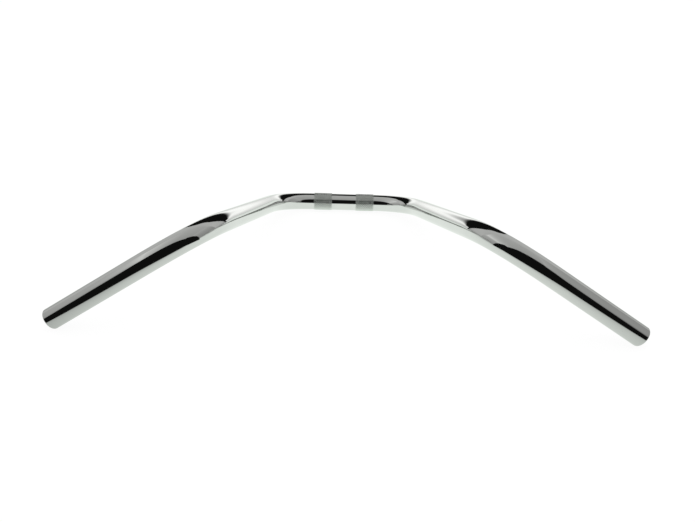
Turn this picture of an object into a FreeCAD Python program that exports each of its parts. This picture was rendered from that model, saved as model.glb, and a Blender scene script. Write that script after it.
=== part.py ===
import FreeCAD, Part
import math
import os
import Sketcher
from FreeCAD import Placement, Rotation, Vector

# One-piece high-rise handlebar for a moped: a round steel tube with four bends, and two
# knurled sleeves pressed onto its straight middle, where the stem clamps hold it.
#
# The bar is first laid out in its bending frame, where the clamp run lies along X, the two
# risers leave it towards -Y in the XY plane, and the grips turn out of that plane towards -Z.
# It is then turned about X by lie_angle, so that it rests on the ground (Z = 0) on the two
# sleeves and on the two grip ends, and set back so that the origin is the centre of its
# footprint.

# alias, value, meaning (millimetres and degrees)
DRIVING_SIZES = (
    ("tube_diameter", 22.2, "outside diameter of the bar, 7/8 inch"),
    ("wall", 2.0, "wall thickness of the tube"),
    ("clamp_run", 85.0, "straight run in the middle, between the lower bends"),
    ("lower_radius", 55.0, "centreline radius of the lower bends"),
    ("lower_angle", 80.0, "turn of the lower bends, from clamp run to riser"),
    ("riser_run", 200.0, "straight run of each riser"),
    ("upper_radius", 58.0, "centreline radius of the upper bends"),
    ("upper_angle", 87.0, "turn of the upper bends, from riser to grip"),
    ("upper_twist", 32.0, "how far the upper bend plane turns out of the riser plane"),
    ("grip_run", 125.0, "straight run of each grip, up to the tube's end"),
    ("lip_radius", 1.0, "rounding of the outer edge at each tube end"),
    ("burr_chamfer", 0.4, "chamfer of the inner edge at each tube end"),
    ("sleeve_length", 24.0, "length of each knurled sleeve"),
    ("sleeve_height", 0.5, "how far the knurl's crests stand above the tube"),
    ("sleeve_spacing", 57.0, "distance between the middles of the two sleeves"),
    ("sleeve_chamfer", 0.2, "chamfer of each sleeve's outer edges"),
    ("lie_angle", 18.33, "slope of the riser plane when the bar lies on the ground"),
    ("set_back", 147.3, "distance of the clamp run's axis behind the origin"),
)

X_AXIS = Vector(1, 0, 0)
Z_AXIS = Vector(0, 0, 1)

doc = FreeCAD.newDocument("handlebar")
sheet = doc.addObject("Spreadsheet::Sheet", "Sizes")
for row, (alias, value, meaning) in enumerate(DRIVING_SIZES, start=1):
    sheet.set(f"A{row}", alias)
    sheet.set(f"B{row}", str(value))
    sheet.setAlias(f"B{row}", alias)
    sheet.set(f"C{row}", meaning)
doc.recompute()


def size(alias):
    """Return one driving size as a plain number."""
    return float(sheet.get(alias))


# ---- the tube: straight runs and bends ---------------------------------------------------


def add_run(name, start, direction, radius, length):
    """Add one straight stretch of round bar; radius and length are sheet expressions."""
    run = doc.addObject("Part::Cylinder", name)
    run.setExpression("Radius", radius)
    run.setExpression("Height", length)
    run.Placement = Placement(start, Rotation(Z_AXIS, direction))
    return run


def add_bend(name, start, direction, turn_to, radius, bend_radius, bend_angle, reach):
    """Add one torus segment that leaves start along direction and turns towards turn_to."""
    bend = doc.addObject("Part::Torus", name)
    bend.setExpression("Radius1", bend_radius)
    bend.setExpression("Radius2", radius)
    bend.setExpression("Angle3", bend_angle)
    centre = start + turn_to * reach
    outward = turn_to * -1
    bend.Placement = Placement(centre, Rotation(outward, direction, outward.cross(direction), "XYZ"))
    return bend


def after_bend(start, direction, turn_to, reach, angle):
    """Return the point and direction where a bend ends, and its side vector there."""
    turn = math.radians(angle)
    point = start + turn_to * (reach * (1 - math.cos(turn))) + direction * (reach * math.sin(turn))
    onward = direction * math.cos(turn) + turn_to * math.sin(turn)
    inward = turn_to * math.cos(turn) - direction * math.sin(turn)
    return point, onward, inward


def add_half(prefix, side, radius):
    """Add the bends and runs of one side; side is +1 or -1. Return them and the tube's end."""
    start = Vector(side * size("clamp_run") / 2, 0, 0)
    direction = X_AXIS * side
    turn_to = Vector(0, -1, 0)
    lower = add_bend(prefix + "_lower_bend", start, direction, turn_to, radius,
                     "Sizes.lower_radius", "Sizes.lower_angle", size("lower_radius"))
    start, direction, turn_to = after_bend(start, direction, turn_to,
                                           size("lower_radius"), size("lower_angle"))
    riser = add_run(prefix + "_riser", start, direction, radius, "Sizes.riser_run")
    start = start + direction * size("riser_run")

    twist = math.radians(size("upper_twist"))
    turn_to = turn_to * -math.cos(twist) + Z_AXIS * -math.sin(twist)
    upper = add_bend(prefix + "_upper_bend", start, direction, turn_to, radius,
                     "Sizes.upper_radius", "Sizes.upper_angle", size("upper_radius"))
    start, direction, turn_to = after_bend(start, direction, turn_to,
                                           size("upper_radius"), size("upper_angle"))
    grip = add_run(prefix + "_grip", start, direction, radius, "Sizes.grip_run")
    end = start + direction * size("grip_run")
    return [lower, riser, upper, grip], end


def add_bent_bar(name, radius):
    """Fuse a whole bent bar of one radius, a sheet expression. Return it and its two ends."""
    middle_start = Vector(-size("clamp_run") / 2, 0, 0)
    stretches = [add_run(name + "_clamp_run", middle_start, X_AXIS, radius, "Sizes.clamp_run")]
    ends = []
    for side_name, side in (("left", -1), ("right", 1)):
        pieces, end = add_half(name + "_" + side_name, side, radius)
        stretches.extend(pieces)
        ends.append(end)
    bar = doc.addObject("Part::MultiFuse", name)
    bar.Shapes = stretches
    return bar, ends


def edges_at(shape, centres, radius):
    """Return the numbers of the round edges of one radius that are centred on the given points."""
    found = []
    for number, edge in enumerate(shape.Edges, start=1):
        if not isinstance(edge.Curve, Part.Circle) or abs(edge.Curve.Radius - radius) > 1e-4:
            continue
        if any(edge.Curve.Center.distanceToPoint(centre) < 1e-3 for centre in centres):
            found.append(number)
    return found


def add_bar_tube():
    """Build the hollow bar: a bent outer bar, cut by the bent bore, with dressed ends."""
    outer, ends = add_bent_bar("outer_bar", "Sizes.tube_diameter / 2")
    bore, _ = add_bent_bar("bore", "Sizes.tube_diameter / 2 - Sizes.wall")
    hollow = doc.addObject("Part::Cut", "hollow_bar")
    hollow.Base = outer
    hollow.Tool = bore
    doc.recompute()

    outer_radius = size("tube_diameter") / 2
    lips = doc.addObject("Part::Fillet", "rounded_lips")
    lips.Base = hollow
    lips.Edges = [(number, size("lip_radius"), size("lip_radius"))
                  for number in edges_at(hollow.Shape, ends, outer_radius)]
    doc.recompute()

    tube = doc.addObject("Part::Chamfer", "bar_tube")
    tube.Base = lips
    tube.Edges = [(number, size("burr_chamfer"), size("burr_chamfer"))
                  for number in edges_at(lips.Shape, ends, outer_radius - size("wall"))]
    tube.Label = "bar_tube"
    return tube


# ---- the knurled sleeves -----------------------------------------------------------------


def add_sleeve(label):
    """Build one sleeve about the X axis, centred on its own origin: a padded ring, chamfered."""
    body = doc.addObject("PartDesign::Body", label)
    body.Label = label
    across = next(plane for plane in body.Origin.OriginFeatures if plane.Role == "YZ_Plane")
    ring = body.newObject("Sketcher::SketchObject", label + "_ring")
    ring.AttachmentSupport = (across, [""])
    ring.MapMode = "FlatFace"
    circles = (
        ("inner_radius", "Sizes.tube_diameter / 2"),
        ("outer_radius", "Sizes.tube_diameter / 2 + Sizes.sleeve_height"),
    )
    for index, (name, expression) in enumerate(circles):
        circle = Part.Circle(Vector(0, 0, 0), Z_AXIS, size("tube_diameter") / 2 + index)
        ring.addGeometry(circle, False)
        ring.addConstraint(Sketcher.Constraint("Coincident", index, 3, -1, 1))
        number = ring.addConstraint(Sketcher.Constraint("Radius", index, size("tube_diameter") / 2))
        ring.renameConstraint(number, name)
        ring.setExpression("Constraints." + name, expression)
    doc.recompute()

    pad = body.newObject("PartDesign::Pad", label + "_pad")
    pad.Profile = ring
    pad.setExpression("Length", "Sizes.sleeve_length")
    pad.SideType = "Symmetric"
    doc.recompute()

    outer_radius = size("tube_diameter") / 2 + size("sleeve_height")
    half_length = size("sleeve_length") / 2
    centres = [Vector(-half_length, 0, 0), Vector(half_length, 0, 0)]
    bevel = body.newObject("PartDesign::Chamfer", label + "_chamfer")
    bevel.Base = (pad, [f"Edge{number}" for number in edges_at(pad.Shape, centres, outer_radius)])
    bevel.setExpression("Size", "Sizes.sleeve_chamfer")
    body.Tip = bevel
    return body


# ---- assembly, in the resting pose -------------------------------------------------------

bar_tube = add_bar_tube()
sleeves = {side: add_sleeve(f"knurled_sleeve_{side}") for side in ("left", "right")}
doc.recompute()

sleeve_radius = size("tube_diameter") / 2 + size("sleeve_height")
clamp_centre = Vector(0, size("set_back"), sleeve_radius)
resting = Placement(clamp_centre, Rotation(X_AXIS, -size("lie_angle")))
bar_tube.Placement = resting
for side, sign in (("left", -1), ("right", 1)):
    offset = Placement(Vector(sign * size("sleeve_spacing") / 2, 0, 0), Rotation())
    sleeves[side].Placement = resting.multiply(offset)
doc.recompute()

# ---- checks and export -------------------------------------------------------------------


def check_tube_volume(shape):
    """Stop if the tube's volume isn't its ring section times its length, to within the ends."""
    outer_radius = size("tube_diameter") / 2
    section = math.pi * (outer_radius**2 - (outer_radius - size("wall"))**2)
    bends = sum(size(f"{name}_radius") * math.radians(size(f"{name}_angle"))
                for name in ("lower", "upper"))
    length = size("clamp_run") + 2 * (bends + size("riser_run") + size("grip_run"))
    if abs(shape.Volume - section * length) > 0.001 * section * length:
        raise RuntimeError("the tube's volume is wrong")
    print(f"tube length along its centreline {length:.1f} mm")


for item in doc.Objects:
    if {"Invalid", "Error"} & set(item.State):
        raise RuntimeError(f"{item.Name} failed: {item.State}")

os.makedirs("parts", exist_ok=True)
for node in [bar_tube, *sleeves.values()]:
    if node.Shape.isNull() or not node.Shape.isValid() or len(node.Shape.Solids) != 1:
        raise RuntimeError(f"{node.Label} is not one valid solid")
check_tube_volume(bar_tube.Shape)
for node in [bar_tube, *sleeves.values()]:
    node.Shape.exportStep(f"parts/{node.Label}.step")
    box = node.Shape.optimalBoundingBox(False, False)
    print(f"{node.Label}: X {box.XMin:.2f} {box.XMax:.2f}  Y {box.YMin:.2f} {box.YMax:.2f}"
          f"  Z {box.ZMin:.2f} {box.ZMax:.2f}")
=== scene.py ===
import math
from functools import partial

import bpy
import numpy as np
from mathutils import Matrix, Vector


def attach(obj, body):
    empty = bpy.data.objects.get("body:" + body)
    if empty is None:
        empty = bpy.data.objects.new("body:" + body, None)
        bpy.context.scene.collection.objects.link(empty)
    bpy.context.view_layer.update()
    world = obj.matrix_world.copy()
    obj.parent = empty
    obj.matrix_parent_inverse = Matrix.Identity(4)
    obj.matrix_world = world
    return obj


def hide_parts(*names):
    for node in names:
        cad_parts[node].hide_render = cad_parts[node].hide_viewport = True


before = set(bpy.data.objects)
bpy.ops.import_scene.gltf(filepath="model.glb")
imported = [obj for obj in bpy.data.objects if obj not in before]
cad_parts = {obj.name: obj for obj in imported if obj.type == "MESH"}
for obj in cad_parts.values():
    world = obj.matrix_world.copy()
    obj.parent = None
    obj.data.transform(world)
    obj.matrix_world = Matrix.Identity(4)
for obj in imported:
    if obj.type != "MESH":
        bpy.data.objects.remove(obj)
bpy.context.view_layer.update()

# A handlebar: one bent, chromed steel tube, and the two knurled sleeves on its clamp run.
#
# The bar is laid out in its bending frame first, where the clamp run lies along X, the risers
# leave it towards -Y in the XY plane, and the grips turn out of that plane towards -Z. It is
# then laid down as the CAD part lies. Bright chrome looks like whatever stands round it, so
# the studio further down is most of its look.

# ---- the part's sizes, in metres and radians: the CAD part's driving sizes -----------------
TUBE_RADIUS = 0.0111
WALL = 0.0020
CLAMP_RUN = 0.085
LOWER_RADIUS, LOWER_ANGLE = 0.055, math.radians(80)
RISER_RUN = 0.200
UPPER_RADIUS, UPPER_ANGLE = 0.058, math.radians(87)
UPPER_TWIST = math.radians(32)
GRIP_RUN = 0.125
LIP_RADIUS = 0.0010
BURR_CHAMFER = 0.0004
SLEEVE_LENGTH = 0.024
SLEEVE_HEIGHT = 0.0005
SLEEVE_SPACING = 0.057
LIE_ANGLE = math.radians(18.33)
SET_BACK = 0.1473

# ---- sizes that only the visual model has, in metres and radians ---------------------------
# the lengths over which each bend's curvature comes in and goes out, as in a real bent tube
LOWER_BLENDS = (0.026, 0.044)
UPPER_BLENDS = (0.046, 0.056)
TIGHTENING = 2.0                # how far the middle of an eased bend is tightened, in shifts
WALK_STEP = 0.00025             # the length of each step along the centreline
RUN_SPACING = 0.006             # between the tube's rings in the straight runs
BEND_SPACING = 0.0016           # between the tube's rings in the bends
BEND_MARGIN = 0.002             # how far the close rings go on past a bend
LIP_MARGIN = 0.0006             # between the last ring of a run and the start of the lip
TUBE_SIDES = 104                # points in each ring
LIP_STEPS = 10                  # rings over the rounded lip
FACE_MARGIN = 0.0002            # between the lip and the next ring on the flat end face
EDGE_BREAK = 0.00002            # the smallest rounding of the edges round the bore's mouth
MOUTH_DEPTH = 0.0012            # how deep the mouth's last ring is
BORE_START = 0.002              # how deep the bore's first ring is at least
SEAM_ANGLE = math.radians(205)  # where the weld seam is in the bore
SEAM_HEIGHT = 0.00035
SEAM_WIDTH = 0.09               # also an angle

DIAMONDS_AROUND, DIAMONDS_ALONG = 24, 8
POINTS_PER_DIAMOND = 12
GROOVE_SHARE = 0.40             # a groove's width, as a share of the knurl's pitch
GROOVE_FLOOR = 0.00008          # how far the bottom of the grooves is above the tube
BEVEL_LENGTH = 0.00025          # the crests get lower over this length at a sleeve's ends
BEVEL_HEIGHT = 0.35             # down to this share of their height
SLEEVE_SINK = 0.00005           # how far a sleeve's inner wall is sunk into the tube

PLATED, BARE = 0, 1             # places of the tube's two materials

CLAMP_CENTRE = Vector((0, SET_BACK, TUBE_RADIUS + SLEEVE_HEIGHT))
TO_GROUND = Matrix.Translation(CLAMP_CENTRE) @ Matrix.Rotation(-LIE_ANGLE, 4, "X")


# ---- helpers -------------------------------------------------------------------------------

def mix(low, high, share):
    """Go from low to high by a share from 0 to 1."""
    return low + (high - low) * share


def ramp(value, stops):
    """Read a value off a list of (place, level) stops."""
    return float(np.interp(value, [stop[0] for stop in stops], [stop[1] for stop in stops]))


def new_object(name, vertices, faces, smooth, materials, face_material=None):
    """Make a mesh object from arrays and link it to the scene."""
    mesh = bpy.data.meshes.new(name)
    mesh.from_pydata([tuple(v) for v in vertices], [], [tuple(f) for f in faces])
    mesh.validate()
    mesh.polygons.foreach_set("use_smooth", [smooth] * len(mesh.polygons))
    for material in materials:
        mesh.materials.append(material)
    if face_material is not None:
        mesh.polygons.foreach_set("material_index", face_material)
    mesh.update()
    made = bpy.data.objects.new(name, mesh)
    bpy.context.scene.collection.objects.link(made)
    return made


def add_float(obj, name, values):
    """Store one number per vertex on the mesh, for its material to read."""
    layer = obj.data.attributes.new(name, "FLOAT", "POINT")
    layer.data.foreach_set("value", np.asarray(values, np.float32))


def set_inputs(tree, made, inputs):
    """Set a node's inputs to values, or link them to sockets."""
    for key, value in inputs.items():
        if isinstance(value, bpy.types.NodeSocket):
            tree.links.new(value, made.inputs[key])
        else:
            made.inputs[key].default_value = value


def node(tree, kind, inputs, **settings):
    """Add one node, set its properties, and set or link its inputs."""
    made = tree.nodes.new(kind)
    for key, value in settings.items():
        setattr(made, key, value)
    set_inputs(tree, made, inputs)
    return made


def new_material(name):
    """Return a new node material, its node tree and its Principled shader."""
    material = bpy.data.materials.new(name)
    material.use_nodes = True
    tree = material.node_tree
    return material, tree, tree.nodes["Principled BSDF"]


def attribute(tree, name):
    """Return the number that add_float stored on the mesh."""
    return node(tree, "ShaderNodeAttribute", {}, attribute_name=name).outputs["Fac"]


def noise(tree, scale, detail, roughness=0.5):
    """Return noise in the object's own space, from 0 to 1, with one scale each along X, Y, Z."""
    place = node(tree, "ShaderNodeTexCoord", {}).outputs["Object"]
    scaled = node(tree, "ShaderNodeMapping", {"Vector": place, "Scale": scale}).outputs["Vector"]
    return node(tree, "ShaderNodeTexNoise", {"Vector": scaled, "Scale": 1.0, "Detail": detail,
                                             "Roughness": roughness}).outputs["Fac"]


def remap(tree, value, low, high, to_low, to_high):
    """Map a socket's range onto another, clamped."""
    return node(tree, "ShaderNodeMapRange",
                {"Value": value, "From Min": low, "From Max": high,
                 "To Min": to_low, "To Max": to_high}).outputs["Result"]


def add(tree, first, second):
    """Add two sockets."""
    return node(tree, "ShaderNodeMath", {0: first, 1: second}, operation="ADD").outputs["Value"]


def colour_ramp(tree, value, *stops):
    """Go from one colour to another, between two (place, colour) stops."""
    made = node(tree, "ShaderNodeValToRGB", {"Fac": value})
    for element, (place, colour) in zip(made.color_ramp.elements, stops):
        element.position = place
        element.color = (*colour, 1)
    return made.outputs["Color"]


def bump(tree, height, strength, distance):
    """Return a normal that is roughened by a height."""
    return node(tree, "ShaderNodeBump", {"Height": height, "Strength": strength,
                                         "Distance": distance}).outputs["Normal"]


# ---- the bar's centreline ------------------------------------------------------------------

def eased_bend(radius, angle, blends):
    """Return an eased bend's tightest radius, and how much longer the runs before and after
    it get, so that both stay in line with those of the plain bend."""
    # easing a circle in over a length shifts it inwards by length^2 / (24 radius): this is the
    # mean of both ends
    shift = sum(blend**2 for blend in blends) / 2 / (24 * radius)
    tight = radius - TIGHTENING * shift
    first, last = (tight + blend**2 / (24 * tight) for blend in blends)
    plain = radius * math.tan(angle / 2)
    before = plain - (last / math.sin(angle) - first / math.tan(angle))
    after = plain - (first / math.sin(angle) - last / math.tan(angle))
    return tight, before, after


def bend_rates(s, start, end, radius, blends):
    """Return a bend's curvature at each distance s, coming in and going out gradually."""
    coming = np.clip((s - start) / blends[0] + 0.5, 0, 1)
    going = np.clip((s - end) / blends[1] + 0.5, 0, 1)
    return (coming - going) / radius


def turned(vector, axis, angle):
    """Return a vector turned about an axis of length 1."""
    return (vector * math.cos(angle) + np.cross(axis, vector) * math.sin(angle)
            + axis * (axis @ vector) * (1 - math.cos(angle)))


def bend_axes():
    """Return the axes that the right half's lower and upper bends turn about."""
    riser = np.array([math.cos(LOWER_ANGLE), -math.sin(LOWER_ANGLE), 0])
    outward = np.array([math.sin(LOWER_ANGLE), math.cos(LOWER_ANGLE), 0])
    turn_to = outward * math.cos(UPPER_TWIST) + np.array([0, 0, -math.sin(UPPER_TWIST)])
    return np.array([0, 0, -1.0]), np.cross(riser, turn_to)


def walk_half():
    """Walk the right half from the middle in small steps. Return its points, its directions,
    its length, and the distances at which its bends start and end."""
    lower_radius, lower_before, lower_after = eased_bend(LOWER_RADIUS, LOWER_ANGLE, LOWER_BLENDS)
    upper_radius, upper_before, upper_after = eased_bend(UPPER_RADIUS, UPPER_ANGLE, UPPER_BLENDS)
    lower_start = CLAMP_RUN / 2 + lower_before
    lower_end = lower_start + lower_radius * LOWER_ANGLE
    upper_start = lower_end + lower_after + RISER_RUN + upper_before
    upper_end = upper_start + upper_radius * UPPER_ANGLE
    half = upper_end + upper_after + GRIP_RUN

    count = int(round(half / WALK_STEP))
    step = half / count
    s = (np.arange(count) + 0.5) * step
    lower_axis, upper_axis = bend_axes()
    lower_rates = bend_rates(s, lower_start, lower_end, lower_radius, LOWER_BLENDS)
    upper_rates = bend_rates(s, upper_start, upper_end, upper_radius, UPPER_BLENDS)
    point, ahead = np.zeros(3), np.array([1.0, 0, 0])
    points, aheads = [point], [ahead]
    for lower_rate, upper_rate in zip(lower_rates, upper_rates):
        before = ahead
        ahead = turned(ahead, lower_axis, lower_rate * step)
        ahead = turned(ahead, upper_axis, upper_rate * step)
        middle = before + ahead
        point = point + middle / np.linalg.norm(middle) * step
        points.append(point)
        aheads.append(ahead)
    marks = (lower_start, lower_end, upper_start, upper_end)
    return np.array(points), np.array(aheads), half, marks


def centreline():
    """Return points, directions and distances along the bar, from the left end to the right
    one, and half its length and the marks of its bends. The left half mirrors the right one."""
    points, aheads, half, marks = walk_half()
    distances = np.linspace(0, half, len(points))
    mirror = np.array([-1.0, 1, 1])
    all_points = np.concatenate([points[:0:-1] * mirror, points])
    all_aheads = np.concatenate([aheads[:0:-1] * mirror * -1, aheads])
    all_distances = np.concatenate([-distances[:0:-1], distances])
    return all_points, all_aheads, all_distances, half, marks


def ring_places(half, marks):
    """Return distances along the bar for the rings: close in the bends, wider in the runs."""
    lower_start, lower_end, upper_start, upper_end = marks
    margin = max(LOWER_BLENDS + UPPER_BLENDS) / 2 + BEND_MARGIN
    stretches = (
        (0, lower_start - margin, RUN_SPACING),
        (lower_start - margin, lower_end + margin, BEND_SPACING),
        (lower_end + margin, upper_start - margin, RUN_SPACING),
        (upper_start - margin, upper_end + margin, BEND_SPACING),
        (upper_end + margin, half - LIP_RADIUS - LIP_MARGIN, RUN_SPACING),
    )
    places = [0.0]
    for start, end, spacing in stretches:
        count = max(1, math.ceil((end - start) / spacing))
        places.extend(np.linspace(start, end, count + 1)[1:])
    places.append(half - LIP_RADIUS)
    places = np.array(places)
    return np.concatenate([-places[:0:-1], places])


def frames_along(places, points, aheads, distances):
    """Return centres, directions and two side vectors at each place, without twist."""
    centres = np.stack([np.interp(places, distances, points[:, k]) for k in range(3)], axis=1)
    ahead = np.stack([np.interp(places, distances, aheads[:, k]) for k in range(3)], axis=1)
    ahead /= np.linalg.norm(ahead, axis=1)[:, None]
    side = np.zeros_like(ahead)
    middle = int(np.argmin(np.abs(places)))
    side[middle] = (0, 0, 1)
    for order in (range(middle + 1, len(places)), range(middle - 1, -1, -1)):
        last = middle
        for i in order:
            vector = side[last] - ahead[i] * (side[last] @ ahead[i])
            side[i] = vector / np.linalg.norm(vector)
            last = i
    return centres, ahead, side, np.cross(ahead, side)


def to_ground(points):
    """Move an array of points from the bending frame to where the bar lies."""
    matrix = np.array(TO_GROUND)
    return points @ matrix[:3, :3].T + matrix[:3, 3]


# ---- the chromed tube ----------------------------------------------------------------------

def end_profile():
    """Return the rings over one tube end, from the outer wall into the bore: each one's
    radius, how far it is outside the end face, and its material."""
    profile = []
    for k in range(1, LIP_STEPS + 1):
        turn = math.pi / 2 * k / LIP_STEPS
        profile.append((TUBE_RADIUS - LIP_RADIUS * (1 - math.cos(turn)),
                        -LIP_RADIUS * (1 - math.sin(turn)), PLATED))
    bore_radius = TUBE_RADIUS - WALL
    mouth_radius = bore_radius + BURR_CHAMFER
    profile.extend([
        (TUBE_RADIUS - LIP_RADIUS - FACE_MARGIN, 0, PLATED),
        (mouth_radius + 4 * EDGE_BREAK, 0, PLATED),
        (mouth_radius, -EDGE_BREAK, PLATED),
        (bore_radius + 2 * EDGE_BREAK, 2 * EDGE_BREAK - BURR_CHAMFER, BARE),
        (bore_radius, -3 * EDGE_BREAK - BURR_CHAMFER, BARE),
        (bore_radius, -MOUTH_DEPTH, BARE),
    ])
    return profile


def build_tube(materials):
    """Build the bent tube as one closed skin: outer wall, rounded lips, dressed edges, bore."""
    points, aheads, distances, half, marks = centreline()
    places = ring_places(half, marks)
    centres, ahead, side, across = frames_along(places, points, aheads, distances)
    angle = np.arange(TUBE_SIDES) * 2 * math.pi / TUBE_SIDES
    rings, ring_materials, from_end = [], [], []

    def add_ring(i, radius, material, outside=-LIP_RADIUS):
        """Add a ring at place i, or at one end, where outside is measured from the end face."""
        centre = centres[i]
        depth = half - abs(places[i])
        if i in (0, len(places) - 1):
            outward = ahead[i] * np.sign(places[i])
            centre = centre + outward * (LIP_RADIUS + outside)
            depth = -outside
        rings.append(centre + np.outer(np.cos(angle) * radius, side[i])
                     + np.outer(np.sin(angle) * radius, across[i]))
        ring_materials.append(material)
        from_end.append(depth)

    for i in range(len(places)):
        add_ring(i, TUBE_RADIUS, PLATED)
    for radius, outside, material in end_profile():
        add_ring(len(places) - 1, radius, material, outside)
    from_seam = np.abs((angle - SEAM_ANGLE + math.pi) % (2 * math.pi) - math.pi)
    bead = SEAM_HEIGHT * np.exp(-(from_seam / SEAM_WIDTH) ** 2)
    for i in reversed(range(len(places))):
        if half - abs(places[i]) > BORE_START:
            add_ring(i, TUBE_RADIUS - WALL - bead, BARE)
    for radius, outside, material in reversed(end_profile()):
        add_ring(0, radius, material, outside)

    faces, face_material = [], []
    for k in range(len(rings)):
        following = (k + 1) % len(rings)
        first, second = k * TUBE_SIDES, following * TUBE_SIDES
        for j in range(TUBE_SIDES):
            beside = (j + 1) % TUBE_SIDES
            faces.append((first + j, first + beside, second + beside, second + j))
        face_material.extend([max(ring_materials[k], ring_materials[following])] * TUBE_SIDES)
    tube = new_object("bar_skin", to_ground(np.concatenate(rings)), faces, True, materials,
                      face_material)
    add_float(tube, "from_end", np.repeat(from_end, TUBE_SIDES))
    return tube


# ---- the knurled sleeves -------------------------------------------------------------------

def groove(phase):
    """Return the height across one family of V grooves: 0 in a groove, 1 on the land."""
    away = np.abs((phase + 0.5) % 1.0 - 0.5) * 2
    return np.clip(away / GROOVE_SHARE, 0, 1)


def knurl_faces(rows, columns):
    """Return a sleeve's faces: the knurled grid's, and a quad of each end face and of the
    inner wall for each column."""
    faces = []
    for i in range(rows):
        for j in range(columns):
            a, b = i * columns + j, i * columns + (j + 1) % columns
            c, d = b + columns, a + columns
            faces.extend([(a, d, c), (a, c, b)] if (i + j) % 2 == 0
                         else [(a, d, b), (d, c, b)])
    last_row = rows * columns
    inner_first = last_row + columns
    inner_last = inner_first + columns
    for j in range(columns):
        k = (j + 1) % columns
        faces.append((inner_first + j, j, k, inner_first + k))
        faces.append((last_row + j, inner_last + j, inner_last + k, last_row + k))
        faces.append((inner_last + j, inner_first + j, inner_first + k, inner_last + k))
    return faces


def build_sleeve(name, middle, material):
    """Build one sleeve with real diamond knurling cut into it, standing on the tube."""
    columns = DIAMONDS_AROUND * POINTS_PER_DIAMOND
    rows = DIAMONDS_ALONG * POINTS_PER_DIAMOND
    x = np.linspace(-SLEEVE_LENGTH / 2, SLEEVE_LENGTH / 2, rows + 1)
    turn = np.arange(columns) * 2 * math.pi / columns
    along = (x / (SLEEVE_LENGTH / DIAMONDS_ALONG))[:, None]
    around = (np.arange(columns) / POINTS_PER_DIAMOND)[None, :]
    height = np.minimum(groove(along + around), groove(along - around))
    from_edge = np.clip((SLEEVE_LENGTH / 2 - np.abs(x)) / BEVEL_LENGTH, 0, 1)[:, None]
    radius = (TUBE_RADIUS + GROOVE_FLOOR
              + (SLEEVE_HEIGHT - GROOVE_FLOOR) * height * mix(BEVEL_HEIGHT, 1.0, from_edge))

    def circle(at, radii):
        """Return a circle of points about the X axis, each at its own radius."""
        return np.stack([np.full(columns, middle + at), radii * np.sin(turn),
                         radii * np.cos(turn)], axis=1)

    circles = [circle(at, radii) for at, radii in zip(x, radius)]
    circles.extend(circle(at, TUBE_RADIUS - SLEEVE_SINK) for at in (x[0], x[-1]))
    sleeve = new_object(name, to_ground(np.concatenate(circles)), knurl_faces(rows, columns),
                        False, [material])
    add_float(sleeve, "crest", np.concatenate([height.reshape(-1), np.zeros(2 * columns)]))
    return sleeve


# ---- the part's materials ------------------------------------------------------------------

def chrome_material():
    """Bright decorative chrome: nearly a mirror, with faint haze and polishing lines."""
    material, tree, shader = new_material("bright_chrome")
    haze = noise(tree, (38, 38, 38), 5.0, 0.6)
    lines = noise(tree, (40, 900, 900), 3.0)
    set_inputs(tree, shader, {
        "Base Color": colour_ramp(tree, haze, (0.3, (0.668, 0.673, 0.664)),
                                  (0.75, (0.703, 0.708, 0.698))),
        "Roughness": add(tree, remap(tree, haze, 0.35, 0.7, 0.02, 0.06),
                         remap(tree, lines, 0.35, 0.75, 0.0, 0.035)),
        "Metallic": 1.0,
        "Normal": bump(tree, haze, 0.02, 0.0002),
    })
    return material


def bore_material():
    """The unplated inside: drawn steel, dull and a little brown, bright only near the ends."""
    material, tree, shader = new_material("drawn_steel_bore")
    mottle = noise(tree, (160, 160, 160), 6.0)
    drawn = noise(tree, (60, 1500, 1500), 2.0)
    steel = colour_ramp(tree, mottle, (0.35, (0.16, 0.145, 0.13)), (0.7, (0.30, 0.29, 0.275)))
    ragged = add(tree, attribute(tree, "from_end"), remap(tree, mottle, 0.3, 0.7, -0.004, 0.004))
    plated = remap(tree, ragged, 0.003, 0.016, 1.0, 0.0)
    # of a colour Mix node, 0, 6 and 7 are the factor and the two colours, and 2 is the result
    colour = node(tree, "ShaderNodeMix", {0: plated, 6: steel, 7: (0.62, 0.63, 0.62, 1)},
                  data_type="RGBA").outputs[2]
    set_inputs(tree, shader, {
        "Base Color": colour,
        "Roughness": remap(tree, plated, 0.0, 1.0, 0.48, 0.20),
        "Metallic": 0.5,
        "Normal": bump(tree, drawn, 0.35, 0.0001),
    })
    return material


def knurl_material():
    """Knurled chrome of the same plating: satin grooves darkened by painted shade, brighter crests.
    """
    material, tree, shader = new_material("satin_knurl_chrome")
    crest = attribute(tree, "crest")
    grain = noise(tree, (900, 900, 900), 3.0)
    set_inputs(tree, shader, {
        # painted shade: the colour goes near black in the grooves, standing in for the shade that
        # falls there
        "Base Color": colour_ramp(tree, crest, (0.05, (0.06, 0.065, 0.06)),
                                  (0.9, (0.80, 0.83, 0.80))),
        "Roughness": add(tree, remap(tree, crest, 0.0, 1.0, 0.34, 0.09),
                         remap(tree, grain, 0.3, 0.7, -0.03, 0.05)),
        "Metallic": 1.0,
        "Normal": bump(tree, grain, 0.25, 0.00004),
    })
    return material


bar_skin = build_tube([chrome_material(), bore_material()])
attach(bar_skin, "root")
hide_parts("bar_tube")

knurl_chrome = knurl_material()
for side_name, sign in (("left", -1), ("right", 1)):
    knurl = build_sleeve(f"knurl_{side_name}", sign * SLEEVE_SPACING / 2, knurl_chrome)
    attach(knurl, "root")
    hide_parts(f"knurled_sleeve_{side_name}")


# ---- the studio ----------------------------------------------------------------------------
# Lengths are in metres; side is -1 on the left and 1 on the right. A card's place(u, v) and
# level(u, v) give a point and its brightness, with u and v from 0 to 1.

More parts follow.
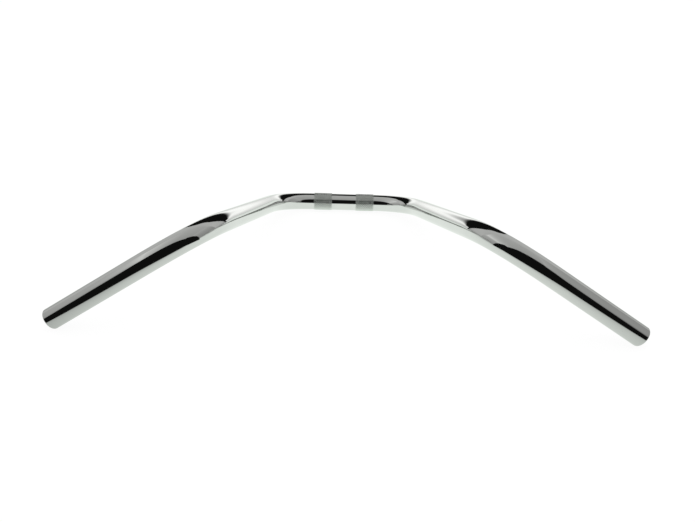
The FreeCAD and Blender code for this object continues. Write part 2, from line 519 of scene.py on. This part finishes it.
FLOOR_REACH, FLOOR_HEIGHT = 14.0, -0.0002
FLOOR_SHADE, FLOOR_GLOW = 0.07, 0.93
TABLE_X, TABLE_Y, TABLE_RADIUS, TABLE_HEIGHT = 0.01, 0.15, 0.49, -0.0001
WALL_X = {-1: -1.87, 1: 1.44}
WALL_FOOT = -0.6
CEILING, CEILING_FRONT, CEILING_BACK = 1.555, -1.05, 1.17
CEILING_SWING = 0.22                                # how far its front edge swings forward
OPENING_Y, OPENING_HALF = 0.437, 0.40               # the gap between the two back panels
OPENING_SHOULDER, OPENING_CROWN = 0.3, 0.5          # where it starts to narrow, and over what
BACKDROP_Y, BACKDROP_HALF, BACKDROP_LIT_HALF = 0.75, 0.62, 0.40
BACKDROP_FOOT, BACKDROP_TOP = -0.35, 0.36
WING_X, WING_FRONT, WING_FOOT, WING_TOP = -0.03, -0.40, 0.043, 0.275
DOME_RADIUS = 9.0
DARK = 0.006                                        # brightness of the unlit parts


def add_floor():
    """The floor that the camera sees: pale, with a glow of its own, so that shadows are faint."""
    material, tree, shader = new_material("pale_floor")
    set_inputs(tree, shader, {
        "Base Color": (FLOOR_SHADE, FLOOR_SHADE, FLOOR_SHADE, 1),
        "Roughness": 1.0,
        "Specular IOR Level": 0.0,
        "Emission Color": (1, 1, 1, 1),
        "Emission Strength": FLOOR_GLOW,
    })
    corners = [(x * FLOOR_REACH, y * FLOOR_REACH, FLOOR_HEIGHT)
               for x, y in ((-1, -1), (1, -1), (1, 1), (-1, 1))]
    floor = new_object("floor", corners, [(0, 1, 2, 3)], False, [material])
    floor.visible_glossy = False


def glow_material(name, colour):
    """Light given off by a card, as strong as the card's own level at each place."""
    material = bpy.data.materials.new(name)
    material.use_nodes = True
    tree = material.node_tree
    tree.nodes.clear()
    glow = node(tree, "ShaderNodeEmission", {"Color": colour, "Strength": attribute(tree, "level")})
    node(tree, "ShaderNodeOutputMaterial", {"Surface": glow.outputs["Emission"]})
    return material


def show_only_in_chrome(obj):
    """Hide an object from everything except reflections."""
    for kind in ("camera", "diffuse", "shadow", "transmission", "volume_scatter"):
        setattr(obj, "visible_" + kind, False)


def add_card(name, place, level, columns, rows, glow):
    """Add a curved card that only the chrome sees."""
    grid = [(j / columns, i / rows) for i in range(rows + 1) for j in range(columns + 1)]
    corners = [i * (columns + 1) + j for i in range(rows) for j in range(columns)]
    faces = [(a, a + 1, a + columns + 2, a + columns + 1) for a in corners]
    card = new_object(name, [place(u, v) for u, v in grid], faces, False, [glow])
    add_float(card, "level", [level(u, v) for u, v in grid])
    show_only_in_chrome(card)


def table_place(u, v):
    """A place on the round table: u goes round it, v from its middle to its edge."""
    turn = 2 * math.pi * u
    return (TABLE_X + TABLE_RADIUS * v * math.sin(turn),
            TABLE_Y + TABLE_RADIUS * v * math.cos(turn), TABLE_HEIGHT)


def table_level(u, v):
    """The table is brightest in the middle, and a little darker towards the left."""
    out = ramp(v, [(0, 1.03), (0.5, 0.97), (0.8, 0.84), (0.96, 0.62), (1.0, 0.45)])
    x = table_place(u, v)[0]
    return out * ramp(x, [(-0.45, 0.80), (-0.1, 0.97), (0.05, 1.0), (0.45, 0.97)])


def ceiling_place(u, v):
    """A place on the ceiling, whose front edge swings forward towards both sides."""
    x = mix(WALL_X[-1], WALL_X[1], u)
    front = CEILING_FRONT - CEILING_SWING * abs(x)**1.5
    return x, mix(front, CEILING_BACK, v), CEILING


def ceiling_level(u, v):
    """The ceiling gets brighter towards the back and towards the left."""
    return (ramp(v, [(0, 0.42), (0.45, 0.49), (1, 0.54)])
            * ramp(u, [(0, 1.5), (0.3, 1.15), (0.5, 1.0), (1, 0.92)]))


def wall_front(side, z):
    """Where a side wall's front edge is, at each height."""
    if side > 0:
        return ramp(z, [(0, -0.85), (0.476, -1.19), (0.863, -1.28), (1.376, -1.48),
                        (1.555, -1.42)])
    return ramp(z, [(0, -1.0), (0.594, -1.186), (1.074, -1.339), (1.4, -1.53), (1.555, -1.59)])


def wall_place(side, u, v):
    """A place on a side wall, from its leaning front edge to the back panel."""
    z = mix(WALL_FOOT, CEILING, v)
    return WALL_X[side], mix(wall_front(side, z), OPENING_Y, u), z


def wall_level(side, u, v):
    """A side wall gets brighter upwards, and darker at its front edge, most of all low down."""
    z = mix(WALL_FOOT, CEILING, v)
    low_down = ramp(z, [(0.25, 1), (0.5, 0)])
    front_fade = (ramp(u, [(0, 0.75), (0.1, 0.92), (0.25, 1.0)])
                  * mix(1.0, ramp(u, [(0, 0.05), (0.22, 1.0)]), low_down))
    if side > 0:
        return front_fade * ramp(z, [(-0.2, 0.32), (0.3, 0.34), (0.8, 0.40), (1.5, 0.50)])
    return (front_fade * ramp(u, [(0, 0.98), (1, 1.12)])
            * ramp(z, [(-0.2, 0.33), (0.3, 0.40), (0.9, 0.46), (1.1, 0.58), (1.4, 0.75)]))


def back_place(side, u, v):
    """A place on a back panel, from the gap between the panels to the side wall. The gap has
    straight sides under a rounded top."""
    z = mix(WALL_FOOT, CEILING, v)
    narrowing = max(0.0, z - OPENING_SHOULDER) / OPENING_CROWN
    inner = side * OPENING_HALF * math.sqrt(max(0.0, 1 - narrowing**2))
    return mix(inner, WALL_X[side], u), OPENING_Y, z


def back_level(side, u, v):
    """A back panel is darkest at the table's height."""
    z = mix(WALL_FOOT, CEILING, v)
    foot = 0.34 if side > 0 else 0.36
    return ramp(z, [(0.0, foot), (0.15, 0.55), (0.6, 0.58), (1.5, 0.52)])


def backdrop_place(u, v):
    """A place on the lit backdrop, behind the gap."""
    return (mix(-BACKDROP_HALF, BACKDROP_HALF, u), BACKDROP_Y,
            mix(BACKDROP_FOOT, BACKDROP_TOP, v))


def backdrop_level(u, v):
    """The backdrop is brightest a little above the table, and fades out upwards and sideways."""
    x, _, z = backdrop_place(u, v)
    across = math.sqrt(max(0.0, 1 - (x / BACKDROP_LIT_HALF)**2))
    lit = ramp(z, [(-0.2, 0.90), (0.02, 0.94), (0.07, 1.27), (0.12, 1.27)])
    fade = ramp(z, [(0.08 + 0.03 * across, 1.0), (0.11 + 0.12 * across, 0.0)])
    return max(DARK, lit * mix(0.8, 1.0, across) * fade**2)


def wing_place(u, v):
    """A place on the dark wing that stands between the upper bends, its near edge leaning."""
    z = mix(WING_FOOT, WING_TOP, v)
    edge = ramp(z, [(WING_FOOT, -0.148), (0.130, -0.171), (0.19, -0.195), (WING_TOP, -0.245)])
    return WING_X, mix(edge, WING_FRONT, u), z


def dark_level(u, v):
    """An unlit card has the same faint brightness all over."""
    return DARK


def add_dome(glow):
    """Add a dark dome round everything, for the chrome to see where no card is."""
    bpy.ops.mesh.primitive_ico_sphere_add(subdivisions=3, radius=DOME_RADIUS)
    dome = bpy.context.object
    dome.name = "dark_dome"
    dome.data.materials.append(glow)
    add_float(dome, "level", np.full(len(dome.data.vertices), DARK))
    show_only_in_chrome(dome)


def build_surroundings():
    """The studio as the chrome sees it: a round white table in a grey tent, open and dark in
    front, and open behind, where a lit backdrop shows low down."""
    glow = glow_material("card_glow", (0.992, 1.0, 0.982, 1))
    table_glow = glow_material("table_glow", (0.948, 1.0, 0.950, 1))
    add_card("mirrored_table", table_place, table_level, 96, 24, table_glow)
    add_card("ceiling", ceiling_place, ceiling_level, 32, 16, glow)
    for name, side in (("left", -1), ("right", 1)):
        add_card(name + "_wall", partial(wall_place, side), partial(wall_level, side),
                 32, 48, glow)
        add_card(name + "_back_panel", partial(back_place, side), partial(back_level, side),
                 24, 64, glow)
    add_card("lit_backdrop", backdrop_place, backdrop_level, 48, 64, glow)
    add_card("dark_wing", wing_place, dark_level, 4, 16, glow)
    add_dome(glow)


def add_softbox(name, place, target, width, height, power):
    """Add a soft light, in watts, for the floor; the chrome sees the cards instead."""
    data = bpy.data.lights.new(name, "AREA")
    data.shape = "RECTANGLE"
    data.size = width
    data.size_y = height
    data.energy = power
    light = bpy.data.objects.new(name, data)
    bpy.context.scene.collection.objects.link(light)
    light.location = place
    light.rotation_euler = (Vector(target) - Vector(place)).to_track_quat("-Z", "Y").to_euler()
    light.visible_glossy = False


def light_world():
    """Give the air round the studio an even white light."""
    world = bpy.data.worlds.new("studio_air")
    bpy.context.scene.world = world
    world.use_nodes = True
    set_inputs(world.node_tree, world.node_tree.nodes["Background"],
               {"Color": (1, 1, 1, 1), "Strength": 1.0})


add_floor()
build_surroundings()
add_softbox("top_light", (0, 0.2, 3.4), (0, 0.1, 0), 4.5, 4.0, 40)
add_softbox("left_light", (-3.2, -0.6, 2.4), (0, 0, 0), 2.5, 2.5, 12)
add_softbox("right_light", (3.2, -0.6, 2.4), (0, 0, 0), 2.5, 2.5, 12)
light_world()

view_settings = bpy.context.scene.view_settings
view_settings.view_transform = "Standard"
view_settings.look = "None"
view_settings.exposure = 0.0
view_settings.gamma = 1.0


# ---- the camera ----------------------------------------------------------------------------
CAMERA_PLACE = (-0.01707, -0.67506, 0.38392)
CAMERA_TURNS = (60.597, -1.259, 1.137)              # about X, Y and Z, in degrees
LENS_LENGTH, SENSOR_WIDTH = 33.67, 36.0             # in millimetres
LENS_SHIFT = (0.0317, -0.0031)                      # in sensor widths
NEAREST, FARTHEST = 0.02, 60.0


def add_camera():
    """Stand the camera in front of the bar, looking down at it."""
    data = bpy.data.cameras.new("camera")
    data.lens = LENS_LENGTH
    data.sensor_width = SENSOR_WIDTH
    data.shift_x, data.shift_y = LENS_SHIFT
    data.clip_start = NEAREST
    data.clip_end = FARTHEST
    camera = bpy.data.objects.new("camera", data)
    camera.location = CAMERA_PLACE
    camera.rotation_euler = [math.radians(turn) for turn in CAMERA_TURNS]
    bpy.context.scene.collection.objects.link(camera)
    bpy.context.scene.camera = camera


add_camera()
